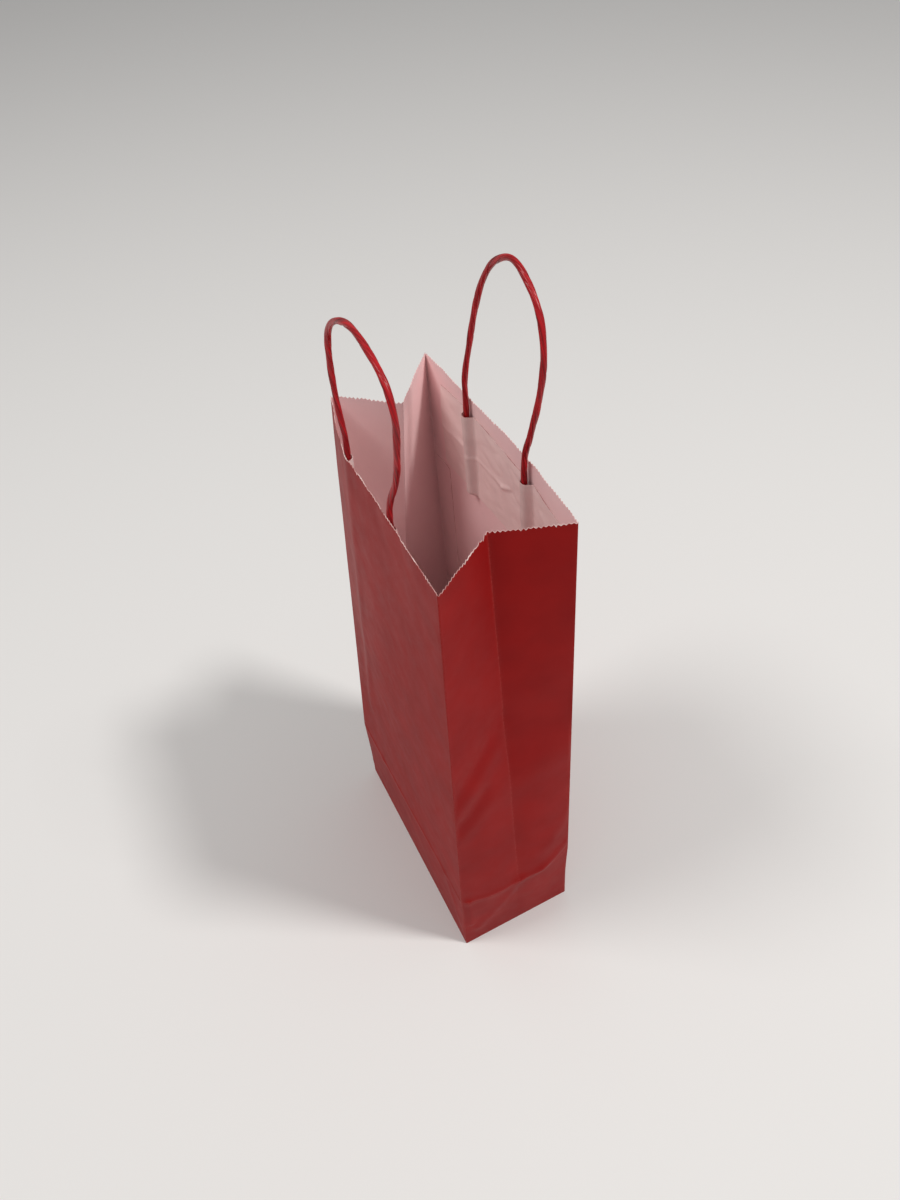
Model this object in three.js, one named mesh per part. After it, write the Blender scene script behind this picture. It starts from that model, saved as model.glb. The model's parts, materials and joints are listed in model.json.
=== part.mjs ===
// Red paper gift bag: one folded and glued sheet, two twisted cord handles and the four
// strips that hold the cord ends. Millimetres, +Z up. X runs along the wide front and back
// panels, the front panel is at -Y, and the origin is the middle of the base on the ground.
import * as THREE from 'three';

// ---- driving dimensions -----------------------------------------------------------------
const WIDTH = 148; // front and back panels, side to side
const DEPTH = 74; // gussets, front to back
const HEIGHT = 330; // ground to the pinked top edge
const CREASE_HEIGHT = 61; // base crease, above which the walls move
const PAPER = 0.4; // thickness of one wall
const GAP = 0.3; // between pieces that are glued or folded against each other
const CORNER_GAP = 1.6; // a gusset stops this far short of its corner edge
const FOLD_GAP = 1.0; // each gusset half stops this far short of the centre fold
const BASE_BULGE = 5; // how far the gusset's middle stands out at the base crease
const COLUMNS = 12; // across a wide panel
const ROWS = 6; // rows up a wall

const HALF_WIDTH = WIDTH / 2;
const HALF_DEPTH = DEPTH / 2;

// The mouth as it stands: corners and centre folds in plan at the top edge.
const FRONT_LEFT = [-66, -19];
const FRONT_RIGHT = [77, -32];
const BACK_LEFT = [-75.5, 36];
const BACK_RIGHT = [69.5, 34.5];
const LEFT_FOLD = [-41.5, 8.5];
const RIGHT_FOLD = [55, 0.5];
const FRONT_BEND = [-25, -29]; // the front panel turns in beside its left cord end
const FRONT_SAG = [26, -30.6]; // the front panel's top edge sags in a little here
const BACK_BOW = [22, 37.6]; // the back panel bows out a little

const CORD = 2.8; // handle cord diameter
const CORD_SIDES = 8;
const TAIL_FOOT = 274; // height of the glued cord ends' lower end
const HANDLE_FOOT = 331.5; // height where a handle bends, just above the top edge
const HINGE_GAP = 1.5; // between a handle's foot and the glued cord end below it
const LEG_SPACING = 55;
const FRONT_PATCH_MIDDLE = 0.446; // as a share of the way across the panel
const BACK_PATCH_MIDDLE = 0.51;
const PATCH_WIDTH = 118;
const PATCH_FOOT = 272;
const PATCH_TOP = 318;
const HUMP_HALF_WIDTH = 3.2; // half the width of the patch's ridge over a cord end

const FLAP_OVERLAP = 8; // how far each bottom flap reaches past the middle
const SEAM_START = 0.03; // as a share of the way across the back panel
const SEAM_WIDTH = 14;
const SEAM_TOP = 268;

// ---- materials ---------------------------------------------------------------------------
const redPaper = () => new THREE.MeshStandardMaterial({ color: 0x9c1418, roughness: 0.42, metalness: 0 });
const whitePaper = () => new THREE.MeshStandardMaterial({ color: 0xe6cfcc, roughness: 0.8, metalness: 0 });
const twistedPaper = () => new THREE.MeshStandardMaterial({ color: 0xb3141c, roughness: 0.35, metalness: 0 });

// ---- geometry ----------------------------------------------------------------------------
const mix = THREE.MathUtils.lerp;

function mixPoints(a, b, t) {
  return a.map((value, i) => mix(value, b[i], t));
}

// A closed solid between two grids of points, outer[row][column] and inner[row][column].
function solidBetween(outer, inner) {
  const rows = outer.length;
  const columns = outer[0].length;
  const positions = [...outer.flat(), ...inner.flat()].flatMap((p) => [...p]);
  const index = [];
  const at = (side, row, column) => side * rows * columns + row * columns + column;
  const quad = (a, b, c, d) => index.push(a, b, c, a, c, d);
  for (let r = 0; r < rows - 1; r++) {
    for (let c = 0; c < columns - 1; c++) {
      quad(at(0, r, c), at(0, r, c + 1), at(0, r + 1, c + 1), at(0, r + 1, c));
      quad(at(1, r, c), at(1, r + 1, c), at(1, r + 1, c + 1), at(1, r, c + 1));
    }
  }
  const last = { row: rows - 1, column: columns - 1 };
  for (let c = 0; c < last.column; c++) {
    quad(at(0, 0, c), at(1, 0, c), at(1, 0, c + 1), at(0, 0, c + 1));
    quad(at(0, last.row, c), at(0, last.row, c + 1), at(1, last.row, c + 1), at(1, last.row, c));
  }
  for (let r = 0; r < last.row; r++) {
    quad(at(0, r, 0), at(0, r + 1, 0), at(1, r + 1, 0), at(1, r, 0));
    quad(at(0, r, last.column), at(1, r, last.column), at(1, r + 1, last.column), at(0, r + 1, last.column));
  }
  const geometry = new THREE.BufferGeometry();
  geometry.setAttribute('position', new THREE.Float32BufferAttribute(positions, 3));
  geometry.setIndex(facingOut(index, positions));
  geometry.computeVertexNormals();
  return geometry;
}

// Turns every triangle over when the solid they close has a negative volume.
function facingOut(index, positions) {
  const point = (i) => new THREE.Vector3(...positions.slice(3 * i, 3 * i + 3));
  let volume = 0;
  for (let i = 0; i < index.length; i += 3) {
    const [a, b, c] = [point(index[i]), point(index[i + 1]), point(index[i + 2])];
    volume += a.dot(b.cross(c));
  }
  return volume > 0 ? index : index.reverse();
}

function steps(from, to, count) {
  return Array.from({ length: count + 1 }, (_, i) => mix(from, to, i / count));
}

// A wall is the ruled surface from its line at the base crease up to its line at the mouth.
// `along` runs 0 to 1 across it, and `inset` moves the point off it, towards `inward`.
function wallPoint(wall, along, z, inset) {
  const rise = (z - CREASE_HEIGHT) / (HEIGHT - CREASE_HEIGHT);
  const [x, y] = mixPoints(wall.foot(along), wall.mouth(along), rise);
  return [x + wall.inward[0] * inset, y + wall.inward[1] * inset, z];
}

// A sheet lying on a wall: insetAt(along) is where its outer face is.
function sheetOn(wall, across, heights, insetAt, thickness = PAPER) {
  const face = (extra) => heights.map((z) => across.map((a) => wallPoint(wall, a, z, insetAt(a) + extra)));
  return solidBetween(face(0), face(thickness));
}

function plate(outline, z) {
  const shape = new THREE.Shape(outline.map(([x, y]) => new THREE.Vector2(x, y)));
  const geometry = new THREE.ExtrudeGeometry(shape, { depth: PAPER, bevelEnabled: false });
  return geometry.translate(0, 0, z);
}

function box(low, high) {
  const size = high.map((value, i) => value - low[i]);
  const middle = mixPoints(low, high, 0.5);
  return new THREE.BoxGeometry(...size).translate(...middle);
}

function cordAlong(points, stepCount) {
  const section = new THREE.Shape();
  section.absarc(0, 0, CORD / 2, 0, 2 * Math.PI);
  const route = new THREE.CatmullRomCurve3(points.map((p) => new THREE.Vector3(...p)));
  return new THREE.ExtrudeGeometry(section, {
    steps: stepCount,
    curveSegments: CORD_SIDES / 2, // per half turn
    extrudePath: route,
    bevelEnabled: false,
  });
}

// ---- walls -------------------------------------------------------------------------------
function lineThrough(...points) {
  const curve = new THREE.CatmullRomCurve3(points.map(([x, y]) => new THREE.Vector3(x, y, 0)));
  return (along) => {
    const p = curve.getPointAt(along);
    return [p.x, p.y];
  };
}

const frontWall = {
  foot: lineThrough([-HALF_WIDTH, -HALF_DEPTH], [HALF_WIDTH, -HALF_DEPTH]),
  mouth: lineThrough(FRONT_LEFT, FRONT_BEND, FRONT_SAG, FRONT_RIGHT),
  inward: [0, 1],
};
const backWall = {
  foot: lineThrough([-HALF_WIDTH, HALF_DEPTH], [HALF_WIDTH, HALF_DEPTH]),
  mouth: lineThrough(BACK_LEFT, BACK_BOW, BACK_RIGHT),
  inward: [0, -1],
};

// Each gusset half runs from its corner edge to the centre fold.
function gussetHalf(side, face, corner, fold) {
  return {
    foot: lineThrough([side * HALF_WIDTH, face * HALF_DEPTH], [side * (HALF_WIDTH + BASE_BULGE), 0]),
    mouth: lineThrough(corner, fold),
    inward: [-side, 0],
  };
}

const gussetHalves = {
  right_gusset_front: gussetHalf(1, -1, FRONT_RIGHT, RIGHT_FOLD),
  right_gusset_back: gussetHalf(1, 1, BACK_RIGHT, RIGHT_FOLD),
  left_gusset_front: gussetHalf(-1, -1, FRONT_LEFT, LEFT_FOLD),
  left_gusset_back: gussetHalf(-1, 1, BACK_LEFT, LEFT_FOLD),
};

// ---- the bag -----------------------------------------------------------------------------
const bag = new THREE.Group();

function addPiece(name, geometry, material) {
  const mesh = new THREE.Mesh(geometry, material);
  mesh.name = name;
  bag.add(mesh);
}

function addPanels() {
  const heights = steps(CREASE_HEIGHT + GAP, HEIGHT, ROWS);
  const edge = GAP / WIDTH;
  const across = steps(edge, 1 - edge, COLUMNS);
  addPiece('front_panel', sheetOn(frontWall, across, heights, () => 0), redPaper());
  addPiece('back_panel', sheetOn(backWall, across, heights, () => 0), redPaper());
}

function addGussets() {
  const heights = steps(CREASE_HEIGHT + 2 * GAP, HEIGHT, ROWS);
  const across = steps(CORNER_GAP / HALF_DEPTH, 1 - FOLD_GAP / HALF_DEPTH, 2);
  for (const [name, wall] of Object.entries(gussetHalves)) {
    addPiece(name, sheetOn(wall, across, heights, () => 0), redPaper());
  }
}

// The belt below the base crease. Its side strips stand out in the middle at the crease.
function addBaseStrips() {
  const x = HALF_WIDTH;
  const y = HALF_DEPTH;
  const top = CREASE_HEIGHT - GAP;
  addPiece('front_base_strip', box([-x, -y, 0], [x, -y + PAPER, top]), redPaper());
  addPiece('back_base_strip', box([-x, y - PAPER, 0], [x, y, top]), redPaper());
  const reach = y - PAPER - GAP;
  for (const [name, side] of [['right_base_strip', 1], ['left_base_strip', -1]]) {
    const rowAt = (z, bulge) => [-1, -0.5, 0, 0.5, 1].map((t) => {
      return [side * (x + bulge * (1 - Math.abs(t))), t * reach, z];
    });
    const outer = [rowAt(0, 0), rowAt(top, BASE_BULGE)];
    const inner = outer.map((row) => row.map(([px, py, pz]) => [px - side * PAPER, py, pz]));
    addPiece(name, solidBetween(outer, inner), redPaper());
  }
}

// The glued bottom: two tucks folded in first, then the back flap, then the front flap.
function addBottom() {
  const x = HALF_WIDTH - PAPER - GAP;
  const y = HALF_DEPTH - PAPER - GAP;
  const reach = y + FLAP_OVERLAP;
  const level = (layer) => layer * (PAPER + GAP);
  const flap = (face) => [
    [-x, face * y],
    [x, face * y],
    [x - reach, -face * FLAP_OVERLAP],
    [reach - x, -face * FLAP_OVERLAP],
  ];
  addPiece('bottom_front_flap', plate(flap(-1), level(0)), redPaper());
  addPiece('bottom_back_flap', plate(flap(1), level(1)), redPaper());
  const tuck = (side) => [
    [side * x, -y],
    [side * x, y],
    [side * (x - y), y / 2],
    [side * (x - y), -y / 2],
  ];
  addPiece('bottom_right_tuck', plate(tuck(1), level(2)), redPaper());
  addPiece('bottom_left_tuck', plate(tuck(-1), level(2)), redPaper());
}

// The side seam: the sheet's end glued inside the back panel, along its left corner.
function addSeam() {
  const across = steps(SEAM_START, SEAM_START + SEAM_WIDTH / WIDTH, 2);
  const heights = steps(CREASE_HEIGHT + 2 * GAP, SEAM_TOP, ROWS);
  addPiece('side_seam_flap', sheetOn(backWall, across, heights, () => PAPER + GAP), whitePaper());
}

// Two paper strips hold a handle's cord ends: one on the panel, one over the ends.
function addPatch(prefix, wall, middle) {
  const legs = [-1, 1].map((side) => middle + (side * LEG_SPACING) / 2 / WIDTH);
  const half = PATCH_WIDTH / 2 / WIDTH;
  const hump = HUMP_HALF_WIDTH / WIDTH;
  const knots = legs.flatMap((leg) => [-2, -1, -0.5, 0, 0.5, 1, 2].map((k) => leg + k * hump));
  const across = [middle - half, middle - half / 2 - hump, ...knots, middle + half].sort((a, b) => a - b);
  const heights = steps(PATCH_FOOT, PATCH_TOP, 2);
  const backing = PAPER + GAP;
  const cover = backing + PAPER + GAP;
  const ridge = (along) => {
    const near = Math.min(...legs.map((leg) => Math.abs(along - leg) / hump));
    return cover + (CORD + GAP) * THREE.MathUtils.smoothstep(2 - near, 0, 1.2);
  };
  addPiece(`${prefix}_patch_backing`, sheetOn(wall, across, heights, () => backing), whitePaper());
  addPiece(`${prefix}_patch_cover`, sheetOn(wall, across, heights, ridge), whitePaper());
  const tailInset = cover - GAP / 2 + CORD / 2;
  for (const [name, leg] of [['left', legs[0]], ['right', legs[1]]]) {
    const route = steps(TAIL_FOOT, HANDLE_FOOT - HINGE_GAP, 3).map((z) => wallPoint(wall, leg, z, tailInset));
    addPiece(`${prefix}_handle_tail_${name}`, cordAlong(route, 4), twistedPaper());
  }
  return legs.map((leg) => wallPoint(wall, leg, HANDLE_FOOT, tailInset));
}

// A handle rises from its two feet through points given as [across, out, up], where `out`
// is how far it stands away from the feet, towards the outside of the bag.
const FRONT_ARCH = [
  [-32, 0, 343], [-34, -0.4, 357], [-34, -0.8, 370], [-30.5, -1.2, 383], [-20, -1.6, 393], [-3, -2, 399],
  [15, -1.8, 397.5], [29, -1.4, 392], [35.5, -1, 381], [34.5, -0.6, 367], [30, -0.2, 349],
];
const BACK_ARCH = [
  [-28.8, 0.6, 343], [-28, 3.2, 358], [-26.2, 5.6, 374], [-21.6, 7.4, 389], [-13, 8.6, 401], [0.6, 9.3, 408],
  [14, 8.9, 404], [25, 7.8, 394.5], [30.6, 6.1, 380], [31.6, 3.6, 364], [29.6, 0.8, 346],
];

function addHandle(name, feet, arch, out) {
  const [left, right] = feet;
  const route = [left, ...arch.map(([x, away, z]) => [x, left[1] + out * away, z]), right];
  addPiece(name, cordAlong(route, 44), twistedPaper());
}

addPanels();
addGussets();
addBaseStrips();
addBottom();
addSeam();
addHandle('front_handle', addPatch('front', frontWall, FRONT_PATCH_MIDDLE), FRONT_ARCH, -1);
addHandle('back_handle', addPatch('back', backWall, BACK_PATCH_MIDDLE), BACK_ARCH, 1);

export default bag;
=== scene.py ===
"""A tall red paper gift bag, standing half open, with two twisted paper cord handles.

Lengths in this file are metres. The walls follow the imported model: their corner edges are the
gusset joints' axes, and their lines at the mouth are the CAD walls' own top edges.
"""

import json
import math

import bpy
import numpy as np
from mathutils import Matrix, Vector, noise


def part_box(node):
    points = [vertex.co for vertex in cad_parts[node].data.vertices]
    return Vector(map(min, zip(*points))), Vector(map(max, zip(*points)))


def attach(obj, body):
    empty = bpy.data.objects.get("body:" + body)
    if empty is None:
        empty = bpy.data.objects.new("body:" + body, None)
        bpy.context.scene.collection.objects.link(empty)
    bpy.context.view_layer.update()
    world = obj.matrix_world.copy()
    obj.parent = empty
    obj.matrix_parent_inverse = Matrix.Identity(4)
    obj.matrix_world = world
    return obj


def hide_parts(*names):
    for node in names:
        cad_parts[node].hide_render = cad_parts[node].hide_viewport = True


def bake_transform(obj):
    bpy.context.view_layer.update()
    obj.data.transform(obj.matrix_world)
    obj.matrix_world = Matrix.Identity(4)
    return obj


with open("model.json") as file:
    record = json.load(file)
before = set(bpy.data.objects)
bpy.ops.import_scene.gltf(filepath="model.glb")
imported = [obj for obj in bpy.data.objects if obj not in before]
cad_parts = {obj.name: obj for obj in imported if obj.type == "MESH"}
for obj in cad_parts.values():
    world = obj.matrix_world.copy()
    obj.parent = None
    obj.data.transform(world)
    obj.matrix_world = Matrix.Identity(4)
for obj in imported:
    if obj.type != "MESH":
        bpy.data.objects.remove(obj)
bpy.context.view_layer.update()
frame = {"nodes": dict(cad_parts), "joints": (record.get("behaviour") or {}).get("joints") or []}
MM = 0.001

# ---- camera --------------------------------------------------------------------------------
CAMERA_PLACE = (0.2878, -0.1158, 0.5729)
CAMERA_AZIMUTH = 67.2  # degrees from +Y, turning towards -X
CAMERA_DOWN = 47.3  # degrees below level
CAMERA_ROLL = -5.4
CAMERA_LENS = 26.8

# ---- floor and lights ------------------------------------------------------------------------
FLOOR_COLOR = (0.80, 0.80, 0.795)
WORLD_COLOR = (1.0, 0.985, 0.975)
WORLD_STRENGTH = 0.36
# Each softbox: its direction from the bag, distance, width and power.
SOFTBOXES = {
    "key_softbox": ((0.35, 0.38, 0.86), 2.0, 0.3, 21),
    "fill_softbox": ((-0.14, -0.50, 0.85), 2.2, 0.7, 16),
}
SOFTBOX_COLOR = (1, 0.97, 0.94)
AIM = (0, 0, 0.2)

# ---- sizes read from the frame ---------------------------------------------------------------
JOINTS = {joint["name"]: joint for joint in frame["joints"]}
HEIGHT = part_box("front_panel")[1].z
CREASE = JOINTS["mouth_close"]["pos_m"][2]
HALF_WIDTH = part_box("front_base_strip")[1].x
HALF_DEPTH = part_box("back_base_strip")[1].y
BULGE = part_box("right_base_strip")[1].x - HALF_WIDTH
PATCH_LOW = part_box("front_patch_cover")[0].z
PATCH_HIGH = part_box("front_patch_cover")[1].z

WIDTH, DEPTH = 2 * HALF_WIDTH, 2 * HALF_DEPTH

# ---- paper -----------------------------------------------------------------------------------
PAPER = 0.24 * MM
HALF_TOOTH = 1.05 * MM  # half the pitch of the pinked edge
TOOTH = 1.1 * MM  # height of a tooth
EDGE_SWAY = 0.9 * MM  # how far the cut edge wanders down between the teeth's tips
FOLD_RADIUS = 0.55 * MM  # of the corner folds and the gussets' centre folds
BELT_FOLD_RADIUS = 1.6 * MM  # what the belt's corners are rounder by, half way up it
FOLD_RUB_AND_HIGHLIGHT = 0.55 * MM  # how far the rubbed ink and the painted highlight reach from a fold
FINE_STEPS = (0.12, 0.25, 0.4, 0.6, 0.85)  # columns beside a fold, in mm from it
WALL_ROWS = 140
BELT_ROWS = 44

# How far the paper stands out from the plain ruled walls.
PANEL_BELLY = 1.2 * MM
GUSSET_BOW_LOW = 2.3 * MM
GUSSET_BOW_HIGH = 0.45 * MM
GUSSET_DENT = 0.16 * MM
STREAK_LEAN = math.radians(39)
STREAK_STRETCH = 5  # the streaks' length as a share of their width
BROAD_STREAK = (0.42 * MM, 30 * MM)  # height and width
NARROW_STREAK = (0.11 * MM, 13 * MM)
RIM_CURL = 0.7 * MM
RIM_CURL_REACH = 26 * MM  # down from the mouth
RIM_CURL_WIDTH = 15 * MM

# ---- glued sheets: insets are from the panel's outer face to the sheet's glued side --------------
PATCH_PAPER = 0.25 * MM
PATCH_INSET = 0.36 * MM
PATCH_OVER_CORD_INSET = 4.6 * MM
RIDGE = 3.0 * MM  # half the width of the patch's ridge over a cord's end
PATCH_LOOSE = 0.5 * MM  # how far the paper stands off between the glue
PATCH_CRUMPLE = 0.06 * MM
PATCH_COLUMNS, PATCH_ROWS = 190, 70
SEAM_INSET = PAPER - 0.04 * MM
BOTTOM_NODES = ("bottom_front_flap", "bottom_back_flap", "bottom_right_tuck", "bottom_left_tuck")

# ---- cord ------------------------------------------------------------------------------------
CORD_RADIUS = 1.42 * MM
CORD_SIDES = 32
CORD_STEP = 0.45 * MM
LAY = 38 * MM  # one turn of the twist
LAY_WANDER = 0.5  # how far the twist strays, in radians


# ---- small helpers -----------------------------------------------------------------------------
def mix(a, b, t):
    return a + (b - a) * t


def smooth(t):
    t = np.clip(t, 0, 1)
    return t * t * (3 - 2 * t)


def noise_at(x, y, z, scale, seed=0.0):
    """Smooth noise from -1 to 1 at every point, whose features are about `scale` across."""
    x, y, z = np.broadcast_arrays(x, y, z)
    shift = Vector((seed * 7.3, seed * 3.1, seed * 5.7))
    flat = np.stack([x.ravel(), y.ravel(), z.ravel()], -1) / scale
    values = [noise.noise(Vector(p) + shift) for p in flat]
    return np.array(values).reshape(x.shape)


def line_point(points, t):
    """Points a share t of the way along a polyline, by its length."""
    points = np.asarray(points, float)
    steps = np.linalg.norm(np.diff(points, axis=0), axis=1)
    reach = np.concatenate([[0], np.cumsum(steps)])
    reach /= reach[-1]
    return np.stack([np.interp(t, reach, points[:, i]) for i in range(points.shape[1])], -1)


def smooth_line(points, count):
    """A Catmull-Rom curve through the points, as count points evenly spaced along it."""
    p = np.asarray(points, float)
    p = np.vstack([2 * p[0] - p[1], p, 2 * p[-1] - p[-2]])
    dense = []
    for a, b, c, d in zip(p[:-3], p[1:-2], p[2:-1], p[3:]):
        for t in np.linspace(0, 1, 24, endpoint=False):
            dense.append(
                0.5 * (2 * b + (c - a) * t + (2 * a - 5 * b + 4 * c - d) * t**2
                       + (3 * b - a - 3 * c + d) * t**3)
            )
    dense.append(p[-2])
    return line_point(dense, np.linspace(0, 1, count))


def unit(vectors):
    return vectors / np.linalg.norm(vectors, axis=-1, keepdims=True)


# ---- the walls' lines, from the frame -----------------------------------------------------------
def corner_edge(joint_name):
    """The corner edge that a gusset hinges on: a function from height to (x, y)."""
    joint = JOINTS[joint_name]
    place, axis = np.array(joint["pos_m"]), np.array(joint["axis"])

    def at(z):
        z = np.maximum(np.asarray(z, float), CREASE)
        return place[:2] + axis[:2] / axis[2] * (z - place[2])[..., None]

    return at


def top_points(node):
    """A CAD wall's vertices at the mouth, as (x, y) rows in order of x."""
    points = np.array([v.co for v in frame["nodes"][node].data.vertices])
    top = points[points[:, 2] > points[:, 2].max() - 0.1 * MM][:, :2]
    return top[np.argsort(top[:, 0])]


def mouth_line(node, facing, left, right):
    """The outer face's line at the mouth, from the left corner to the right one."""
    rows = {}
    for x, y in top_points(node):
        key = round(x / MM)
        rows[key] = max(rows.get(key, (x, y)), (x, y), key=lambda p: p[1] * facing)
    inner = [rows[key] for key in sorted(rows)][1:-1]
    return smooth_line([left, *inner, right], 200)


def fold_top(front_node, back_node):
    """Where a gusset's two halves come closest at the mouth."""
    front, back = top_points(front_node), top_points(back_node)
    gaps = np.linalg.norm(front[:, None] - back[None], axis=2)
    i, j = np.unravel_index(gaps.argmin(), gaps.shape)
    return (front[i] + back[j]) / 2


FACING = {"front": -1, "back": 1, "left": -1, "right": 1}
EDGES = {
    (half, side): corner_edge(f"{side}_{half}_gusset_fold")
    for half in ("front", "back")
    for side in ("left", "right")
}
MOUTHS = {
    side: mouth_line(
        side + "_panel", FACING[side], EDGES[side, "left"](HEIGHT), EDGES[side, "right"](HEIGHT)
    )
    for side in ("front", "back")
}
FOLD_TOPS = {
    side: fold_top(side + "_gusset_front", side + "_gusset_back") for side in ("left", "right")
}


def rise_of(z):
    """0 at the base crease and below it, 1 at the mouth."""
    return np.clip((z - CREASE) / (HEIGHT - CREASE), 0, None)


def fold_line(side, z):
    """The gusset's centre fold, which stands out at the base crease and is tucked in above it."""
    out = 0.7 * BULGE * np.clip(z / CREASE, 0, 1)
    low = np.stack([FACING[side] * (HALF_WIDTH + out), 0 * z], -1)
    return mix(low, FOLD_TOPS[side], rise_of(z)[..., None])


# ---- the shape of the paper ----------------------------------------------------------------------
# Creases and dents, as (from, to, height, half width) in millimetres. The places are (across,
# up), measured from the middle of that side of the bag; a height below 0 goes in.
CREASES = {
    "right": (
        ((-37, 60.5), (0, 60), 0.4, 2.6),
        ((0, 60), (16, 62.5), 0.4, 2.6),
        ((16, 62.5), (37, 73.5), 0.5, 2.4),
        ((10, 59.5), (37, 69), 0.3, 1.6),
        ((2, 60), (-27, 18), 0.6, 3.0),
        ((-33, 60), (-32, 27), 0.8, 1.4),
        ((-37, 178), (-5, 214), -1.0, 5.5),
        ((-37, 160), (-8, 196), 0.55, 4.5),
        ((-37, 148), (-18, 168), -0.7, 4.0),
        ((-37, 134), (-14, 156), 0.35, 4.0),
        ((0, 161), (37, 173), 0.9, 11.0),
        ((0, 200), (37, 214), -0.5, 12.0),
        ((22, 84), (37, 108), 0.6, 5.0),
    ),
    "left": (
        ((-37, 61), (37, 63), 0.6, 1.6),
        ((0, 60), (27, 18), 0.8, 2.2),
        ((-37, 140), (-4, 180), -0.8, 6.0),
        ((37, 150), (2, 192), -0.7, 6.0),
        ((0, 170), (-37, 196), 0.7, 10.0),
    ),
    "front": (
        ((-74, 60.5), (74, 61.5), 0.4, 1.4),
        ((-25, 332), (-50, 112), 0.7, 4.5),
        ((-50, 250), (-60, 90), -0.3, 6.0),
        ((-74, 14), (-40, 60), 0.4, 2.5),
        ((74, 12), (52, 60), 0.4, 2.5),
        ((38, 268), (71, 302), 0.25, 1.6),
        ((30, 252), (64, 290), -0.2, 2.5),
    ),
    "back": (
        ((-74, 61.5), (74, 60.5), 0.4, 1.4),
        ((30, 330), (46, 120), 0.6, 5.0),
        ((-52, 300), (-30, 150), -0.5, 7.0),
        ((-74, 16), (-44, 60), 0.4, 2.5),
        ((74, 14), (48, 60), 0.4, 2.5),
    ),
}


def crease_push(across, z, start, end, height, half_width):
    """A soft straight ridge between two places."""
    a, b = np.array(start) * MM, np.array(end) * MM
    run = b - a
    length = np.hypot(*run)
    px, pz = across - a[0], z - a[1]
    t = (px * run[0] + pz * run[1]) / length**2
    side = (px * run[1] - pz * run[0]) / length
    past = np.maximum(np.maximum(-t, t - 1), 0) * length
    return height * MM * np.exp(-((side**2 + past**2) / (2 * (half_width * MM) ** 2)))


def dents(side, across, z):
    return sum(crease_push(across, z, *crease) for crease in CREASES[side])


def streaks(side, across, z):
    """Faint long wrinkles that slant down across the paper, left by packing it flat."""
    long_way = across * math.cos(STREAK_LEAN) - z * math.sin(STREAK_LEAN)
    cross_way = across * math.sin(STREAK_LEAN) + z * math.cos(STREAK_LEAN)
    first_seed = 3.0 if side == "front" else 9.0
    heights = 0
    for seed, (height, width) in zip((first_seed, first_seed + 4), (BROAD_STREAK, NARROW_STREAK)):
        heights += height * noise_at(long_way / STREAK_STRETCH, cross_way, 0 * z, width, seed)
    return heights


def border_fade(side, across, z, reach=2.5 * MM):
    """0 on the corner folds and on the ground, 1 a little way from them."""
    half = HALF_WIDTH if side in ("front", "back") else HALF_DEPTH
    return smooth((half - np.abs(across)) / reach) * smooth(z / (5 * MM))


def rim_waves(side, across, z):
    """The cut edge at the mouth isn't straight: it curls a little in and out."""
    near_rim = smooth((z - HEIGHT + RIM_CURL_REACH) / RIM_CURL_REACH)
    return RIM_CURL * noise_at(across, 0 * z, 0 * z, RIM_CURL_WIDTH, FACING[side] + 5.0) * near_rim


def wall_push(side, across, z):
    """How far the paper stands out from the plain ruled wall."""
    rise = rise_of(z)
    if side in ("front", "back"):
        share = across / WIDTH + 0.5
        belly = PANEL_BELLY * np.sin(math.pi * np.clip(rise, 0, 1)) ** 2 * np.sin(math.pi * share)
        own = streaks(side, across, z)
    else:
        share = 1 - np.abs(across) / HALF_DEPTH
        bow = mix(GUSSET_BOW_LOW, GUSSET_BOW_HIGH, smooth(rise * 1.7)) * np.clip(z / CREASE, 0, 1)
        belly = bow * np.sin(math.pi * share)
        calm = 1 - 0.8 * smooth((rise - 0.35) / 0.3)
        dimples = noise_at(across * 0.8, z * 0.45, 0 * z, 15 * MM, FACING[side] + 11.0)
        own = GUSSET_DENT * calm * dimples
    small = own + dents(side, across, z) + rim_waves(side, across, z)
    return belly + small * border_fade(side, across, z)


def round_fold(plan, s, corner, this_way, other_way, radius):
    """Bends a wall's last stretch round the fold that it shares with its neighbour, which
    stops half way round too. s is each column's distance from the fold."""
    cosine = np.clip((this_way * other_way).sum(-1), -0.999, 0.999)
    reach = (radius / np.tan(np.arccos(cosine) / 2))[..., None]
    t = 0.5 * (1 - np.clip(s[..., None] / reach, 0, 1))
    bend = (1 - t) ** 2 * (corner + this_way * reach)
    bend += 2 * t * (1 - t) * corner + t**2 * (corner + other_way * reach)
    return np.where(s[..., None] < reach, bend, plan)


def fold_radius(z):
    """Crisp above the base crease; below it the corners are blunt, where layers of paper turn."""
    return FOLD_RADIUS + BELT_FOLD_RADIUS * np.sin(math.pi * np.clip(z / CREASE, 0, 1))


def panel_surface(side, s, z, folds=True):
    """The front or back panel and the belt below it, s from the left corner, at heights z.
    Without folds it is flat right up to its corners."""
    s, z = np.broadcast_arrays(s, z)
    facing = FACING[side]
    foot = np.stack([s - HALF_WIDTH, np.full(s.shape, facing * HALF_DEPTH)], -1)
    plan = mix(foot, line_point(MOUTHS[side], s / WIDTH), rise_of(z)[..., None])
    if folds:
        for end, gone in (("left", s), ("right", WIDTH - s)):
            corner = EDGES[side, end](z)
            along = np.array([1.0 if end == "left" else -1.0, 0.0]) + 0 * corner
            away = unit(fold_line(end, z) - corner)
            plan = round_fold(plan, gone, corner, along, away, fold_radius(z))
    out = facing * wall_push(side, s - HALF_WIDTH, z)
    return np.stack([plan[..., 0], plan[..., 1] + out, z], -1)


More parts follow.
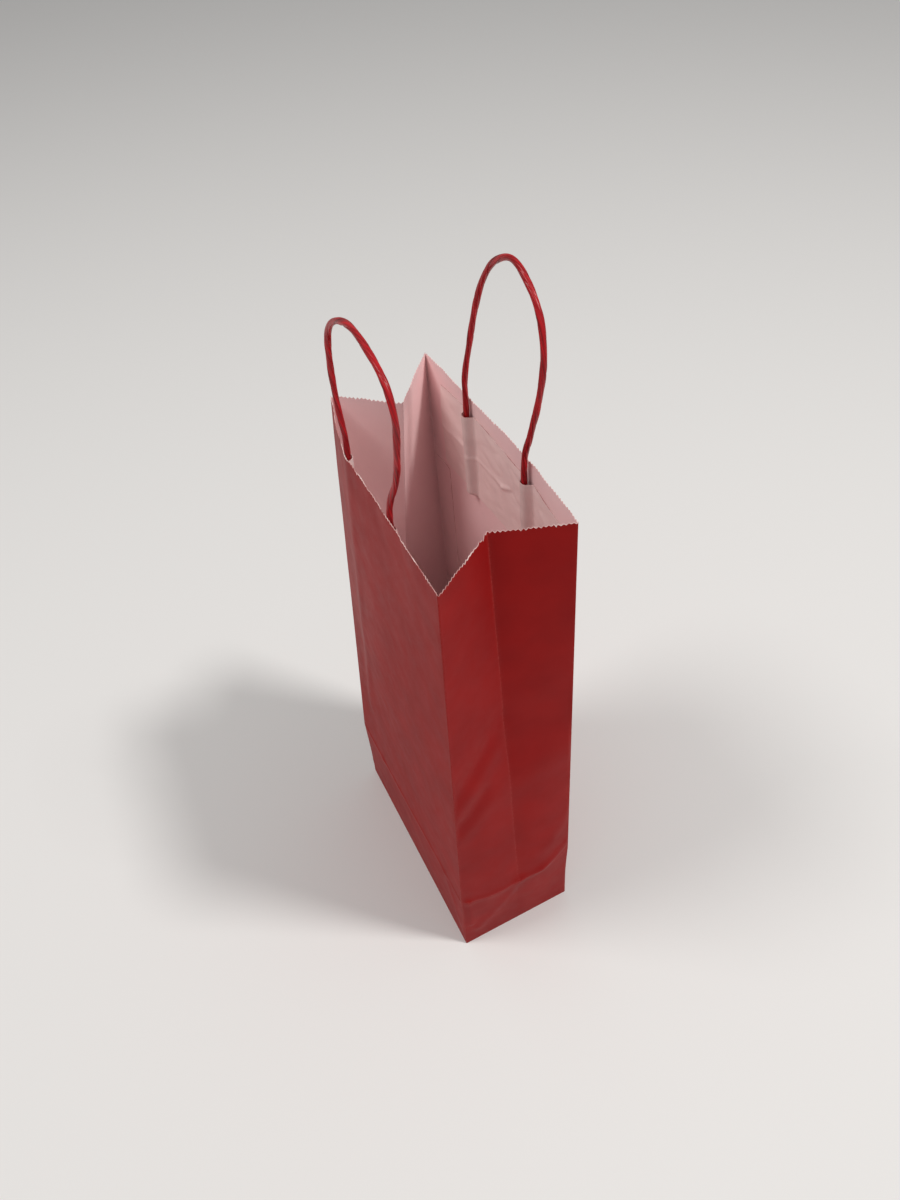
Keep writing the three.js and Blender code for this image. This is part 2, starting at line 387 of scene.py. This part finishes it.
def gusset_surface(side, half, s, z):
    """Half of a gusset and of the belt below it, s from its corner fold, at heights z."""
    s, z = np.broadcast_arrays(s, z)
    corner, fold = EDGES[half, side](z), fold_line(side, z)
    other = "back" if half == "front" else "front"
    plan = mix(corner, fold, (s / HALF_DEPTH)[..., None])
    panel_way = np.array([-float(FACING[side]), 0.0]) + 0 * corner
    plan = round_fold(plan, s, corner, unit(fold - corner), panel_way, fold_radius(z))
    far_corner = EDGES[other, side](z)
    radius = FOLD_RADIUS + 0 * z
    plan = round_fold(plan, HALF_DEPTH - s, fold, unit(corner - fold), unit(far_corner - fold), radius)
    across = FACING[half] * (HALF_DEPTH - s)
    out = FACING[side] * wall_push(side, across, z)
    return np.stack([plan[..., 0] + out, plan[..., 1], z], -1)


# ---- sheets of paper ---------------------------------------------------------------------------
def columns_across(width):
    """Places across a sheet: one for every half tooth, and closer ones beside both folds."""
    count = 2 * round(width / HALF_TOOTH / 2) + 1
    even = np.linspace(0, width, count)
    fine = np.array(FINE_STEPS) * MM
    return np.unique(np.round(np.concatenate([even, fine, width - fine]), 6)), even


def pinked_top(s, even, seed, tears=()):
    """The height of the cut edge at each column: an uneven zigzag, with a few small tears."""
    zigzag = np.interp(s, even, np.arange(len(even)) % 2)
    uneven = 0.8 + 0.8 * noise_at(s, seed * MM + 0 * s, 0 * s, 4 * MM, seed)
    drop = TOOTH * zigzag * np.clip(uneven, 0.1, 1.4)
    drop += EDGE_SWAY * np.abs(noise_at(s, 0 * s, 0 * s, 17 * MM, seed + 2))
    for place, depth, half_width in tears:
        drop += depth * MM * np.clip(1 - np.abs(s - place * MM) / (half_width * MM), 0, 1)
    return HEIGHT - drop


def wall_heights(top):
    """Rows of heights from the base crease to each column's top, closer together low down."""
    v = np.linspace(0, 1, WALL_ROWS)[:, None]
    return CREASE + (0.62 * v + 0.38 * v**2) * (top - CREASE)[None]


def grid_normals(grid, closed):
    """Unit normals of a grid of points, to the side that its rows and columns turn to."""
    if closed:
        grid = np.concatenate([grid[:, -2:], grid, grid[:, :2]], axis=1)
    normals = unit(np.cross(np.gradient(grid, axis=1), np.gradient(grid, axis=0)))
    return normals[:, 2:-2] if closed else normals


def quads(a, b, c, d):
    return np.stack([a.ravel(), b.ravel(), c.ravel(), d.ravel()], -1)


def add_attribute(mesh, name, kind, values):
    attribute = mesh.attributes.new(name, kind, "POINT")
    attribute.data.foreach_set("vector" if kind == "FLOAT_VECTOR" else "value", values.ravel())


def paper_sheet(
    name, outer, flat, wear, materials, outward=1, closed=False, thickness=PAPER, cut=("high",)
):
    """A closed sheet of paper whose outer face is the grid. Material 0 is its outside, 1 its
    inside, and 2 the rims named in cut. flat holds each point's place on the unfolded sheet
    as (across, distance below the cut edge, up). The mask after flat is 1 on a fold, where it
    lightens the red for rubbed ink and a painted highlight; on a patch it is 1 over a cord's
    end; elsewhere it is 0."""
    rows, columns = outer.shape[:2]
    inner = outer - grid_normals(outer, closed) * thickness * outward
    o, i = np.arange(2 * rows * columns).reshape(2, rows, columns)
    if closed:
        o, i = (np.concatenate([side, side[:, :1]], axis=1) for side in (o, i))
    parts = [
        (quads(o[:-1, :-1], o[:-1, 1:], o[1:, 1:], o[1:, :-1]), 0),
        (quads(i[:-1, :-1], i[1:, :-1], i[1:, 1:], i[:-1, 1:]), 1),
        (quads(i[0, :-1], i[0, 1:], o[0, 1:], o[0, :-1]), 2 if "low" in cut else 0),
        (quads(o[-1, :-1], o[-1, 1:], i[-1, 1:], i[-1, :-1]), 2 if "high" in cut else 0),
    ]
    if not closed:
        side_slot = 2 if "sides" in cut else 0
        parts.append((quads(o[:-1, 0], o[1:, 0], i[1:, 0], i[:-1, 0]), side_slot))
        parts.append((quads(i[:-1, -1], i[1:, -1], o[1:, -1], o[:-1, -1]), side_slot))
    faces = np.concatenate([f for f, _ in parts])
    slots = np.concatenate([np.full(len(f), slot, np.int32) for f, slot in parts])
    if outward < 0:
        faces = faces[:, ::-1]
    points = np.concatenate([outer.reshape(-1, 3), inner.reshape(-1, 3)])
    mesh = bpy.data.meshes.new(name)
    mesh.from_pydata(points.tolist(), [], faces.tolist())
    mesh.polygons.foreach_set("material_index", slots)
    mesh.polygons.foreach_set("use_smooth", np.ones(len(faces), bool))
    for material in materials:
        mesh.materials.append(material)
    flat, wear = np.broadcast_to(flat, outer.shape), np.broadcast_to(wear, outer.shape[:2])
    add_attribute(mesh, "flat_place", "FLOAT_VECTOR", np.concatenate([flat.reshape(-1, 3)] * 2))
    add_attribute(mesh, "wear", "FLOAT", np.concatenate([wear.ravel()] * 2))
    mesh.set_sharp_from_angle(angle=math.radians(50))
    piece = bpy.data.objects.new(name, mesh)
    bpy.context.scene.collection.objects.link(piece)
    return piece


def fold_wear(*distances):
    """1 on the nearest of some folds, falling off over half a millimetre or so; the red paper is lighter
    there, for rubbed ink and a painted highlight.
    """
    return np.exp(-np.minimum.reduce(np.broadcast_arrays(*distances)) / FOLD_RUB_AND_HIGHLIGHT)


# Where each side starts on the unfolded sheet, so that the paper's grain runs on round the folds.
SHEET_START = {"front": 0.0, "right": WIDTH, "back": WIDTH + DEPTH, "left": 2 * WIDTH + DEPTH}
FAR_FROM_RIM = 50 * MM  # the distance below the cut edge that a sheet without one is given
OWN_GRAIN = 0.7  # a shift along the sheet that gives a glued sheet a grain of its own
# Small tears of the cut edge: place from the left or outer corner, depth and half width, in mm.
TEARS = {
    "front": ((62, 1.6, 2.2), (76, 1.0, 1.5), (84, 1.4, 1.2), (112, 1.1, 2.0)),
    "right_front": ((33.5, 1.8, 1.4), (29, 1.0, 1.2)),
}


def build_panels():
    for seed, side in enumerate(("front", "back"), 1):
        s, even = columns_across(WIDTH)
        top = pinked_top(s, even, seed, TEARS.get(side, ()))
        z = wall_heights(top)
        grid = panel_surface(side, s[None], z)
        flat = np.stack(np.broadcast_arrays(s[None] + SHEET_START[side], top[None] - z, z), -1)
        wear = fold_wear(s[None] + 0 * z, WIDTH - s[None], z - CREASE)
        piece = paper_sheet(side + "_panel_paper", grid, flat, wear, WALL_PAPER, outward=-FACING[side])
        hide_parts(side + "_panel")
        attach(piece, side + "_wall")


def build_gussets():
    """Each half follows its panel at the base crease, where the paper is one sheet, and its own
    fold higher up."""
    for seed, side in enumerate(("right", "left"), 3):
        for half in ("front", "back"):
            s, even = columns_across(HALF_DEPTH)
            top = pinked_top(s, even, seed + 4 * FACING[half], TEARS.get(f"{side}_{half}", ()))
            z = wall_heights(top)
            grid = gusset_surface(side, half, s[None], z)
            across = SHEET_START[side] + HALF_DEPTH + FACING[half] * (HALF_DEPTH - s[None])
            flat = np.stack(np.broadcast_arrays(across, top[None] - z, z), -1)
            wear = fold_wear(s[None] + 0 * z, HALF_DEPTH - s[None], z - CREASE)
            outward = -FACING[half] * FACING[side]
            name = f"{side}_gusset_{half}"
            piece = paper_sheet(name + "_paper", grid, flat, wear, WALL_PAPER, outward=outward)
            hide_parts(name)
            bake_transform(piece)


def build_belt():
    """The paper below the base crease runs all the way round, on the base."""
    z = np.linspace(0, CREASE, BELT_ROWS)[:, None]
    long_way, _ = columns_across(WIDTH)
    half_way, _ = columns_across(HALF_DEPTH)
    back_way = HALF_DEPTH - half_way
    stretches = [
        (panel_surface("front", long_way[None], z), long_way, "front"),
        (gusset_surface("right", "front", half_way[None], z), half_way, "right"),
        (gusset_surface("right", "back", back_way[None], z), half_way + HALF_DEPTH, "right"),
        (panel_surface("back", WIDTH - long_way[None], z), long_way, "back"),
        (gusset_surface("left", "back", half_way[None], z), half_way, "left"),
        (gusset_surface("left", "front", back_way[None], z), half_way + HALF_DEPTH, "left"),
    ]
    ring = np.concatenate([grid[:, :-1] for grid, _, _ in stretches], axis=1)
    across = np.concatenate([s[:-1] + SHEET_START[side] for _, s, side in stretches])
    corners = np.array([*SHEET_START.values(), 2 * WIDTH + 2 * DEPTH])
    from_corner = np.abs(across[:, None] - corners[None]).min(1)
    flat = np.stack(np.broadcast_arrays(across[None], np.array(FAR_FROM_RIM), z), -1)
    wear = fold_wear(from_corner[None], CREASE - z, z)
    piece = paper_sheet("base_belt_paper", ring, flat, wear, WALL_PAPER, closed=True, cut=())
    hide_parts("front_base_strip", "back_base_strip", "right_base_strip", "left_base_strip")
    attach(piece, "base")


# ---- materials ---------------------------------------------------------------------------------
class Nodes:
    """Short names for building one material's node tree."""

    def __init__(self, name):
        self.material = bpy.data.materials.new(name)
        self.material.use_nodes = True
        self.tree = self.material.node_tree
        self.shader = self.tree.nodes["Principled BSDF"]

    def add(self, kind, **values):
        node = self.tree.nodes.new("ShaderNode" + kind)
        for key, value in values.items():
            if key in node.inputs:
                node.inputs[key].default_value = value
            else:
                setattr(node, key, value)
        return node

    def link(self, source, target):
        self.tree.links.new(source, target)

    def place(self, scale=(1, 0, 1)):
        """The place on the flat sheet, as (across, 0, up), stretched by scale."""
        attribute = self.add("Attribute", attribute_name="flat_place")
        mapping = self.add("Mapping")
        mapping.inputs["Scale"].default_value = scale
        self.link(attribute.outputs["Vector"], mapping.inputs["Vector"])
        return mapping.outputs["Vector"]

    # The mask of the folds, where rubbed ink and a painted highlight lighten the red, and of the cords'
    # ends under a patch.
    def wear(self):
        return self.add("Attribute", attribute_name="wear").outputs["Fac"]

    def below_rim(self):
        """The distance below the cut edge, in metres."""
        attribute = self.add("Attribute", attribute_name="flat_place")
        split = self.add("SeparateXYZ")
        self.link(attribute.outputs["Vector"], split.inputs["Vector"])
        return split.outputs["Y"]

    def noise(self, vector, scale, detail=2.0, roughness=0.5):
        node = self.add("TexNoise", Scale=scale, Detail=detail, Roughness=roughness)
        self.link(vector, node.inputs["Vector"])
        return node.outputs["Fac"]

    def math(self, operation, a, b):
        node = self.add("Math", operation=operation)
        for socket, value in zip(node.inputs, (a, b)):
            if isinstance(value, float):
                socket.default_value = value
            else:
                self.link(value, socket)
        return node.outputs["Value"]

    def span(self, value, from_low, from_high, to_low, to_high):
        node = self.add("MapRange")
        node.inputs["From Min"].default_value = from_low
        node.inputs["From Max"].default_value = from_high
        node.inputs["To Min"].default_value = to_low
        node.inputs["To Max"].default_value = to_high
        self.link(value, node.inputs["Value"])
        return node.outputs["Result"]

    def blend(self, share, a, b):
        """Color a where share is 0 and b where it is 1; each is a color or a socket."""
        node = self.add("Mix", data_type="RGBA")
        self.link(share, node.inputs["Factor"])
        for socket, color in ((node.inputs["A"], a), (node.inputs["B"], b)):
            sockets = [i for i in node.inputs if i.name == socket.name and i.type == "RGBA"]
            if isinstance(color, tuple):
                sockets[0].default_value = (*color, 1)
            else:
                self.link(color, sockets[0])
        return [o for o in node.outputs if o.type == "RGBA"][0]

    def bump(self, height, distance, strength=1.0, normal=None):
        node = self.add("Bump")
        node.inputs["Distance"].default_value = distance
        node.inputs["Strength"].default_value = strength
        self.link(height, node.inputs["Height"])
        if normal is not None:
            self.link(normal, node.inputs["Normal"])
        return node.outputs["Normal"]

    def finish(self, color, roughness, normal, **constants):
        self.link(color, self.shader.inputs["Base Color"])
        self.link(roughness, self.shader.inputs["Roughness"])
        self.link(normal, self.shader.inputs["Normal"])
        for name, value in constants.items():
            self.shader.inputs[name.replace("_", " ")].default_value = value
        return self.material


RED_DEEP = (0.268, 0.0040, 0.0038)
RED_BRIGHT = (0.316, 0.0052, 0.0046)
# Lighter red on the folds: partly rubbed ink, partly a painted highlight along each fold.
RED_RUBBED_AND_HIGHLIGHT = (0.50, 0.09, 0.08)
RED_SPECULAR = 0.08
INSIDE_DEEP = (0.93, 0.655, 0.665)
INSIDE_PALE = (0.96, 0.705, 0.705)
PATCH_PALE = (0.92, 0.72, 0.70)
PATCH_DEEP = (0.87, 0.67, 0.655)
PATCH_OVER_CORD = (0.66, 0.52, 0.505)
CORD_DEEP = (0.17, 0.0016, 0.0042)
CORD_BRIGHT = (0.50, 0.0065, 0.0125)
CUT_EDGE = (0.90, 0.72, 0.69)
CUT_EDGE_DEEP = (0.50, 0.21, 0.20)


def printed_red():
    """The satin red outside: ink mottle, paper fibre, folds lightened for rubbed ink and a painted
    highlight, and a frayed white rim.
    """
    n = Nodes("printed_red_paper")
    place = n.place()
    mottle = n.noise(place, 42.0, 4.0, 0.5)
    fibre = n.noise(n.place((1, 0, 0.35)), 2500.0, 3.0, 0.6)
    speckle = n.noise(place, 900.0, 4.0, 0.7)
    ink = n.blend(n.span(mottle, 0.35, 0.65, 0.0, 1.0), RED_DEEP, RED_BRIGHT)
    # On the folds the red is blended towards a lighter red: rubbed ink, and a painted highlight along the
    # fold.
    rubbed = n.math("MULTIPLY", n.wear(), n.span(speckle, 0.42, 0.68, 0.0, 0.5))
    ink = n.blend(rubbed, ink, RED_RUBBED_AND_HIGHLIGHT)
    patches = n.span(n.noise(place, 55.0, 3.0, 0.6), 0.52, 0.68, 0.0, 1.0)
    fray_depth = n.math("MULTIPLY", patches, n.span(speckle, 0.3, 0.7, 1.4 * MM, 0.0))
    frayed = n.math("SUBTRACT", n.below_rim(), fray_depth)
    color = n.blend(n.span(frayed, 0.0, 0.1 * MM, 1.0, 0.0), ink, CUT_EDGE)
    roughness = n.span(n.noise(place, 110.0, 4.0, 0.65), 0.3, 0.7, 0.43, 0.51)
    normal = n.bump(mottle, 0.03 * MM, 0.3, n.bump(fibre, 0.015 * MM, 0.5))
    return n.finish(color, roughness, normal, Specular_IOR_Level=RED_SPECULAR)


def plain_inside():
    """The unprinted inside, white paper with the red showing through it."""
    n = Nodes("inside_white_paper")
    cloud = n.noise(n.place(), 24.0, 5.0, 0.62)
    fibre = n.noise(n.place((1, 0, 0.4)), 1900.0, 4.0, 0.65)
    color = n.blend(n.span(cloud, 0.35, 0.65, 0.0, 1.0), INSIDE_DEEP, INSIDE_PALE)
    roughness = n.span(fibre, 0.3, 0.7, 0.72, 0.9)
    return n.finish(color, roughness, n.bump(fibre, 0.03 * MM, 0.5), Specular_IOR_Level=0.2)


def patch_paper():
    """White paper over the cord's ends, greyer where the red cord shows through."""
    n = Nodes("handle_patch_paper")
    cloud = n.noise(n.place(), 45.0, 5.0, 0.62)
    fibre = n.noise(n.place((1, 0, 0.4)), 1900.0, 4.0, 0.65)
    paper = n.blend(n.span(cloud, 0.35, 0.65, 0.0, 1.0), PATCH_DEEP, PATCH_PALE)
    color = n.blend(n.math("MULTIPLY", n.wear(), 0.62), paper, PATCH_OVER_CORD)
    roughness = n.span(fibre, 0.3, 0.7, 0.62, 0.82)
    normal = n.bump(cloud, 0.25 * MM, 0.5, n.bump(fibre, 0.03 * MM, 0.5))
    return n.finish(color, roughness, normal, Specular_IOR_Level=0.25)


def cut_edge():
    """The white core that shows along the cut edges."""
    n = Nodes("cut_paper_edge")
    fibre = n.noise(n.place(), 1500.0, 3.0, 0.6)
    rubbed = n.noise(n.place(), 90.0, 5.0, 0.7)
    color = n.blend(n.span(rubbed, 0.42, 0.62, 0.0, 1.0), CUT_EDGE_DEEP, CUT_EDGE)
    roughness = n.span(fibre, 0.3, 0.7, 0.8, 0.95)
    return n.finish(color, roughness, n.bump(fibre, 0.03 * MM, 0.5), Specular_IOR_Level=0.2)


def twisted_cord():
    """Red paper twisted tight: long glossy streaks that follow the lay, and darker grooves."""
    n = Nodes("twisted_paper_cord")
    streak = n.noise(n.place((1, 1, 0.05)), 1100.0, 3.0, 0.6)
    fibre = n.noise(n.place((1, 1, 0.3)), 2600.0, 2.0)
    color = n.blend(n.span(streak, 0.35, 0.65, 0.0, 1.0), CORD_DEEP, CORD_BRIGHT)
    roughness = n.span(streak, 0.3, 0.7, 0.26, 0.44)
    normal = n.bump(fibre, 0.02 * MM, 0.4, n.bump(streak, 0.12 * MM, 0.7))
    return n.finish(color, roughness, normal, Specular_IOR_Level=0.32)


RED = printed_red()
INSIDE = plain_inside()
PATCH = patch_paper()
EDGE = cut_edge()
CORD = twisted_cord()
WALL_PAPER = (RED, INSIDE, EDGE)


# ---- handles ---------------------------------------------------------------------------------------
# Each handle's route above its feet, in millimetres, as (across, outwards from the feet, height).
FRONT_ARCH = (
    (-32, 0, 343), (-34, -0.4, 357), (-34, -0.8, 370), (-30.5, -1.2, 383), (-20, -1.6, 393),
    (-3, -2, 399), (15, -1.8, 397.5), (29, -1.4, 392), (35.5, -1, 381), (34.5, -0.6, 367),
    (30, -0.2, 349),
)
BACK_ARCH = (
    (-28.8, 0.6, 343), (-28, 3.2, 358), (-26.2, 5.6, 374), (-21.6, 7.4, 389), (-13, 8.6, 401),
    (0.6, 9.3, 408), (14, 8.9, 404), (25, 7.8, 394.5), (30.6, 6.1, 380), (31.6, 3.6, 364),
    (29.6, 0.8, 346),
)
# The cord's grooves: place round it in radians, depth as a share of the radius, and half width.
GROOVES = ((0.0, 0.26, 0.20), (2.2, 0.16, 0.15), (4.0, 0.20, 0.17), (5.1, 0.09, 0.12))


def tail_line(node):
    """The middle of a glued cord end at its foot and at its top, from its CAD solid."""
    points = np.array([v.co for v in frame["nodes"][node].data.vertices])
    low = points[points[:, 2] < points[:, 2].min() + 0.6 * MM].mean(0)
    high = points[points[:, 2] > points[:, 2].max() - 0.6 * MM].mean(0)
    return low, high


def cord_radius(twist, reach):
    """The cord's radius where its twisted paper is: a few grooves, lumps and loose wraps."""
    lump = noise_at(reach, 0 * reach, 0 * reach, 8 * MM, 6.0)
    turned = (np.cos(twist) * 2 * MM, np.sin(twist) * 2 * MM, reach * 0.2)
    radius = 1 + 0.06 * np.cos(2 * twist) + 0.05 * lump + 0.03 * noise_at(*turned, 1.5 * MM, 8.0)
    for place, depth, half_width in GROOVES:
        away = np.abs((twist - place + math.pi) % (2 * math.pi) - math.pi)
        radius -= depth * np.exp(-((away / half_width) ** 2))
    return CORD_RADIUS * radius[..., None]


def cord_mesh(name, route):
    """A tube of twisted paper along the route: its grooves run round it, one turn to each LAY."""
    steps = np.linalg.norm(np.diff(route, axis=0), axis=1)
    reach = np.concatenate([[0], np.cumsum(steps)])[:, None]
    tangent = unit(np.gradient(route, axis=0))
    side = unit(np.cross(tangent, (0, 1, 0)))
    out = np.cross(side, tangent)
    angle = np.linspace(0, 2 * math.pi, CORD_SIDES, endpoint=False)[None]
    wander = LAY_WANDER * noise_at(reach, 0 * reach, 0 * reach, 17 * MM, 2.0)
    twist = angle - 2 * math.pi * reach / LAY - wander
    spoke = np.cos(angle)[..., None] * side[:, None] + np.sin(angle)[..., None] * out[:, None]
    rings = route[:, None] + cord_radius(twist, reach) * spoke
    points = np.concatenate([rings.reshape(-1, 3), route[[0, -1]]])
    index = np.arange(rings.shape[0] * CORD_SIDES).reshape(-1, CORD_SIDES)
    turned = np.roll(index, -1, axis=1)
    first, last = index.size, index.size + 1
    faces = quads(index[:-1], turned[:-1], turned[1:], index[1:]).tolist()
    faces += [[first, b, a] for a, b in zip(index[0], turned[0])]
    faces += [[last, a, b] for a, b in zip(index[-1], turned[-1])]
    mesh = bpy.data.meshes.new(name)
    mesh.from_pydata(points.tolist(), [], faces)
    mesh.polygons.foreach_set("use_smooth", np.ones(len(faces), bool))
    mesh.materials.append(CORD)
    flat = np.stack([np.cos(twist) * CORD_RADIUS, np.sin(twist) * CORD_RADIUS, reach + 0 * twist], -1)
    flat = flat.reshape(-1, 3)
    add_attribute(mesh, "flat_place", "FLOAT_VECTOR", np.concatenate([flat, flat[:1], flat[-1:]]))
    piece = bpy.data.objects.new(name, mesh)
    bpy.context.scene.collection.objects.link(piece)
    return piece


def build_handles():
    """Each handle is one cord, from the foot of one glued end, round the loop, to the other's."""
    for side, arch in (("front", FRONT_ARCH), ("back", BACK_ARCH)):
        left_low, left_high = tail_line(side + "_handle_tail_left")
        right_low, right_high = tail_line(side + "_handle_tail_right")
        loop = [(x * MM, left_high[1] + FACING[side] * away * MM, z * MM) for x, away, z in arch]
        points = [left_low, mix(left_low, left_high, 0.5), left_high, *loop]
        points += [right_high, mix(right_low, right_high, 0.5), right_low]
        length = np.linalg.norm(np.diff(smooth_line(points, 400), axis=0), axis=1).sum()
        piece = cord_mesh(side + "_handle_cord", smooth_line(points, round(length / CORD_STEP)))
        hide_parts(side + "_handle", side + "_handle_tail_left", side + "_handle_tail_right")
        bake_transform(piece)


# ---- patches, seam and bottom ---------------------------------------------------------------------
# The upper edge of each patch, as (across, up from its plain height) in millimetres.
PATCH_EDGE = {
    "front": ((-61, 0.5), (-30, 2.0), (0, 0.8), (25, 1.5), (55, -0.5)),
    "back": ((-60, 1.5), (-32, 3.6), (-5, 2.0), (16, 0.6), (36, 0.9), (56, -1.5)),
}
# Creases of the patches, as in CREASES.
PATCH_CREASES = (
    ((-60, 296), (4, 297.5), 0.35, 0.9),
    ((4, 297.5), (11, 301), 0.7, 0.8),
    ((11, 301), (30, 292), -0.3, 1.2),
    ((-50, 290), (-36, 279), -0.3, 1.6),
    ((36, 310), (56, 302), 0.25, 1.6),
)


def wall_sheet(name, side, s, z, inset, wear, materials):
    """A sheet glued inside the front or back panel, inset from the panel's outer face."""
    grid = panel_surface(side, s, z, folds=False)
    grid[..., 1] -= FACING[side] * inset
    across = s + SHEET_START[side] + OWN_GRAIN
    flat = np.stack(np.broadcast_arrays(across, np.array(FAR_FROM_RIM), z), -1)
    all_rims = ("low", "high", "sides")
    return paper_sheet(
        name, grid, flat, wear, materials, outward=-FACING[side], thickness=PATCH_PAPER, cut=all_rims
    )


def ridges(side, x, z):
    """1 over a handle's glued ends and 0 away from them."""
    ridge = 0 * z
    for leg in ("left", "right"):
        foot, head = tail_line(f"{side}_handle_tail_{leg}")
        leg_x = mix(foot[0], head[0], (z - foot[2]) / (head[2] - foot[2]))
        ridge = np.maximum(ridge, np.exp(-(((x - leg_x) / RIDGE) ** 4)))
    return ridge


def patch_span(side):
    """How far along its panel a patch starts and ends."""
    low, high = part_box(side + "_patch_cover")
    feet = np.array([-HALF_WIDTH, HALF_WIDTH])
    panel_ends = mix(feet, MOUTHS[side][[0, -1], 0], rise_of(np.array(PATCH_LOW)))
    return np.interp([low.x, high.x], panel_ends, [0, WIDTH])


def build_patches():
    """A handle's ends lie under a strip of white paper, which they raise in two ridges."""
    for side in ("front", "back"):
        s = np.linspace(*patch_span(side), PATCH_COLUMNS)[None]
        edge = smooth_line(PATCH_EDGE[side], 100) * MM
        top = PATCH_HIGH + np.interp(s - HALF_WIDTH, edge[:, 0], edge[:, 1])
        ragged = 0.25 * MM * noise_at(s, 0 * s, 0 * s, 4 * MM, 5.0)
        z = mix(PATCH_LOW - ragged, top + ragged, np.linspace(0, 1, PATCH_ROWS)[:, None])
        ridge = ridges(side, panel_surface(side, s, z, folds=False)[..., 0], z)
        covered = ridge * smooth((z - PATCH_LOW + 1 * MM) / (4 * MM))
        loose = PATCH_LOOSE * np.abs(noise_at(s, z * 1.6, 0 * z, 13 * MM, 31.0))
        loose += PATCH_CRUMPLE * noise_at(s, z, 0 * z, 3.5 * MM, 33.0)
        inset = mix(PATCH_INSET, PATCH_OVER_CORD_INSET, covered)
        inset += loose * smooth((top - z) / (4 * MM))
        inset += sum(crease_push(s - HALF_WIDTH, z, *crease) for crease in PATCH_CREASES)
        piece = wall_sheet(side + "_patch_paper", side, s, z, inset, ridge, (PATCH, PATCH, EDGE))
        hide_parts(side + "_patch_cover", side + "_patch_backing")
        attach(piece, side + "_wall")


def build_seam():
    """The flap that joins the sheet's two ends, glued inside the back panel."""
    low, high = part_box("side_seam_flap")
    s = np.linspace(low.x + HALF_WIDTH, high.x + HALF_WIDTH, 16)[None]
    z = np.linspace(low.z, high.z, 60)[:, None]
    inset = SEAM_INSET + 0.03 * MM * noise_at(s, z, 0 * z, 9 * MM, 41.0)
    piece = wall_sheet("side_seam_paper", "back", s, z, inset, 0 * z, WALL_PAPER)
    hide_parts("side_seam_flap")
    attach(piece, "back_wall")


def build_bottom():
    """The folded bottom: two wide flaps that overlap, on two tucked ends cut to a taper."""
    for seed, node in enumerate(BOTTOM_NODES, 51):
        low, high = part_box(node)
        x, y = np.meshgrid(np.linspace(low.x, high.x, 60), np.linspace(low.y, high.y, 40))
        if "tuck" in node:
            outer_x = high.x if "right" in node else low.x
            taper = 1 - 0.98 * np.abs(x - outer_x) / HALF_DEPTH
            y = y * np.clip(taper, 0.02, 1)
        lie = 0.12 * MM * noise_at(x, y, 0 * x, 22 * MM, seed)
        grid = np.stack([x, y, high.z + lie], -1)
        flat = np.stack([x, FAR_FROM_RIM + 0 * x, y], -1)
        papers = (INSIDE, RED, EDGE)
        piece = paper_sheet(node + "_paper", grid, flat, 0 * x, papers, cut=("low", "high", "sides"))
        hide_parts(node)
        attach(piece, "base")


# ---- stage ---------------------------------------------------------------------------------------------
def build_stage():
    mesh = bpy.data.meshes.new("floor")
    angles = np.linspace(0, 2 * math.pi, 64, endpoint=False)
    mesh.from_pydata([(9 * math.cos(a), 9 * math.sin(a), 0) for a in angles], [], [list(range(64))])
    n = Nodes("pale_floor")
    n.shader.inputs["Base Color"].default_value = (*FLOOR_COLOR, 1)
    n.shader.inputs["Roughness"].default_value = 0.9
    n.shader.inputs["Specular IOR Level"].default_value = 0.1
    mesh.materials.append(n.material)
    floor = bpy.data.objects.new("floor", mesh)
    bpy.context.scene.collection.objects.link(floor)


def add_softbox(name, direction, distance, size, power):
    light = bpy.data.lights.new(name, "AREA")
    light.shape = "DISK"
    light.size = size
    light.energy = power
    light.color = SOFTBOX_COLOR
    lamp = bpy.data.objects.new(name, light)
    lamp.location = Vector(AIM) + Vector(direction).normalized() * distance
    lamp.rotation_euler = (Vector(AIM) - lamp.location).to_track_quat("-Z", "Y").to_euler()
    bpy.context.scene.collection.objects.link(lamp)


def build_lights():
    world = bpy.data.worlds.new("studio")
    world.use_nodes = True
    background = world.node_tree.nodes["Background"]
    background.inputs["Color"].default_value = (*WORLD_COLOR, 1)
    background.inputs["Strength"].default_value = WORLD_STRENGTH
    bpy.context.scene.world = world
    for name, softbox in SOFTBOXES.items():
        add_softbox(name, *softbox)
    bpy.context.scene.view_settings.view_transform = "Standard"


def build_camera():
    data = bpy.data.cameras.new("camera")
    data.lens = CAMERA_LENS
    data.clip_start = 0.01
    data.clip_end = 50
    camera = bpy.data.objects.new("camera", data)
    turn = Matrix.Rotation(math.radians(CAMERA_AZIMUTH), 4, "Z")
    tilt = Matrix.Rotation(math.radians(90 - CAMERA_DOWN), 4, "X")
    roll = Matrix.Rotation(math.radians(CAMERA_ROLL), 4, "Z")
    camera.matrix_world = Matrix.Translation(CAMERA_PLACE) @ turn @ tilt @ roll
    bpy.context.scene.collection.objects.link(camera)
    bpy.context.scene.camera = camera


build_camera()
build_handles()
build_panels()
build_gussets()
build_belt()
build_patches()
build_seam()
build_bottom()
build_stage()
build_lights()
